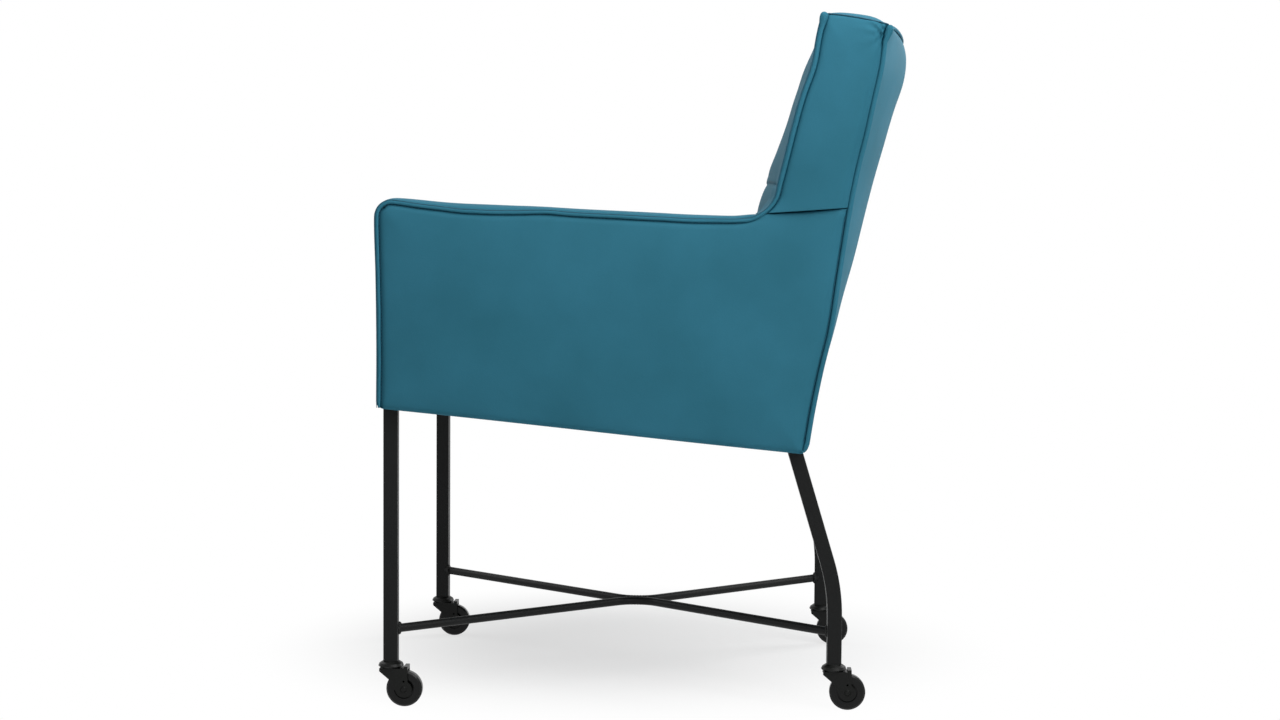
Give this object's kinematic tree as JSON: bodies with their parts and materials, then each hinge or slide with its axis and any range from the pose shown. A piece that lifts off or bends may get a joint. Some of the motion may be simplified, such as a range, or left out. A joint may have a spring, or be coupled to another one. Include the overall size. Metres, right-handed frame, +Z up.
{
  "type": "dining armchair",
  "caption": "Upholstered dining armchair with closed arms and a raked back, on a black square-tube frame with crossed stretchers and swivel castors.",
  "frame": {"origin": "on the floor under the centre of the chair's box", "axes": "+Z up, -Y to the front of the seat, +X to the sitter's left"},
  "size_m": [0.6152, 0.7376, 0.9573],
  "materials": {
    "leather": "smooth grained upholstery leather",
    "frame_steel": "satin black powder coat",
    "castor_steel": "black lacquer on pressed steel",
    "castor_polyamide": "moulded black polyamide",
    "nylon": "moulded",
    "plywood": "raw plywood",
    "beech": "planed beech",
    "zinc": "zinc plated",
    "cloth": "black non-woven cloth"
  },
  "bodies": {
    "chair": {"arm_left": "leather", "arm_right": "leather", "back_board": "plywood", "back_lower_rail": "beech", "back_pad_lower": "leather", "back_pad_rear": "leather", "back_pad_upper": "leather", "back_top_rail": "beech", "castor_stem_front_left": "castor_steel", "castor_stem_front_right": "castor_steel", "castor_stem_rear_left": "castor_steel", "castor_stem_rear_right": "castor_steel", "dust_cover": "cloth", "front_cross_rail": "frame_steel", "front_leg_left": "frame_steel", "front_leg_right": "frame_steel", "leg_plug_front_left": "nylon", "leg_plug_front_right": "nylon", "leg_plug_rear_left": "nylon", "leg_plug_rear_right": "nylon", "rear_cross_rail": "frame_steel", "rear_leg_left": "frame_steel", "rear_leg_right": "frame_steel", "seat_bolts": "zinc", "seat_cushion": "leather", "seat_deck": "plywood", "seat_front_border": "leather", "side_board_left": "plywood", "side_board_right": "plywood", "side_rail_left": "frame_steel", "side_rail_right": "frame_steel", "stretcher_left": "frame_steel", "stretcher_right": "frame_steel", "swivel_cap_front_left": "castor_steel", "swivel_cap_front_right": "castor_steel", "swivel_cap_rear_left": "castor_steel", "swivel_cap_rear_right": "castor_steel"},
    "castor_front_left": {"castor_axle_front_left": "castor_steel", "castor_fork_front_left": "castor_steel", "swivel_race_front_left": "castor_steel"},
    "wheel_front_left": {"castor_wheel_front_left": "castor_polyamide"},
    "castor_front_right": {"castor_axle_front_right": "castor_steel", "castor_fork_front_right": "castor_steel", "swivel_race_front_right": "castor_steel"},
    "wheel_front_right": {"castor_wheel_front_right": "castor_polyamide"},
    "castor_rear_left": {"castor_axle_rear_left": "castor_steel", "castor_fork_rear_left": "castor_steel", "swivel_race_rear_left": "castor_steel"},
    "wheel_rear_left": {"castor_wheel_rear_left": "castor_polyamide"},
    "castor_rear_right": {"castor_axle_rear_right": "castor_steel", "castor_fork_rear_right": "castor_steel", "swivel_race_rear_right": "castor_steel"},
    "wheel_rear_right": {"castor_wheel_rear_right": "castor_polyamide"}
  },
  "joints": [
    {"name": "swivel_front_left", "type": "hinge", "parent": "chair", "child": "castor_front_left", "pos_m": [0.265, -0.3515, 0.05], "axis": [0, 0, 1], "continuous": true},
    {"name": "roll_front_left", "type": "hinge", "parent": "castor_front_left", "child": "wheel_front_left", "pos_m": [0.265, -0.3325, 0.025], "axis": [1, 0, 0], "continuous": true},
    {"name": "swivel_front_right", "type": "hinge", "parent": "chair", "child": "castor_front_right", "pos_m": [-0.265, -0.3515, 0.05], "axis": [0, 0, 1], "continuous": true},
    {"name": "roll_front_right", "type": "hinge", "parent": "castor_front_right", "child": "wheel_front_right", "pos_m": [-0.265, -0.3325, 0.025], "axis": [1, 0, 0], "continuous": true},
    {"name": "swivel_rear_left", "type": "hinge", "parent": "chair", "child": "castor_rear_left", "pos_m": [0.2405, 0.264, 0.05], "axis": [0, 0, 1], "continuous": true},
    {"name": "roll_rear_left", "type": "hinge", "parent": "castor_rear_left", "child": "wheel_rear_left", "pos_m": [0.2405, 0.283, 0.025], "axis": [1, 0, 0], "continuous": true},
    {"name": "swivel_rear_right", "type": "hinge", "parent": "chair", "child": "castor_rear_right", "pos_m": [-0.2405, 0.264, 0.05], "axis": [0, 0, 1], "continuous": true},
    {"name": "roll_rear_right", "type": "hinge", "parent": "castor_rear_right", "child": "wheel_rear_right", "pos_m": [-0.2405, 0.283, 0.025], "axis": [1, 0, 0], "continuous": true}
  ]
}
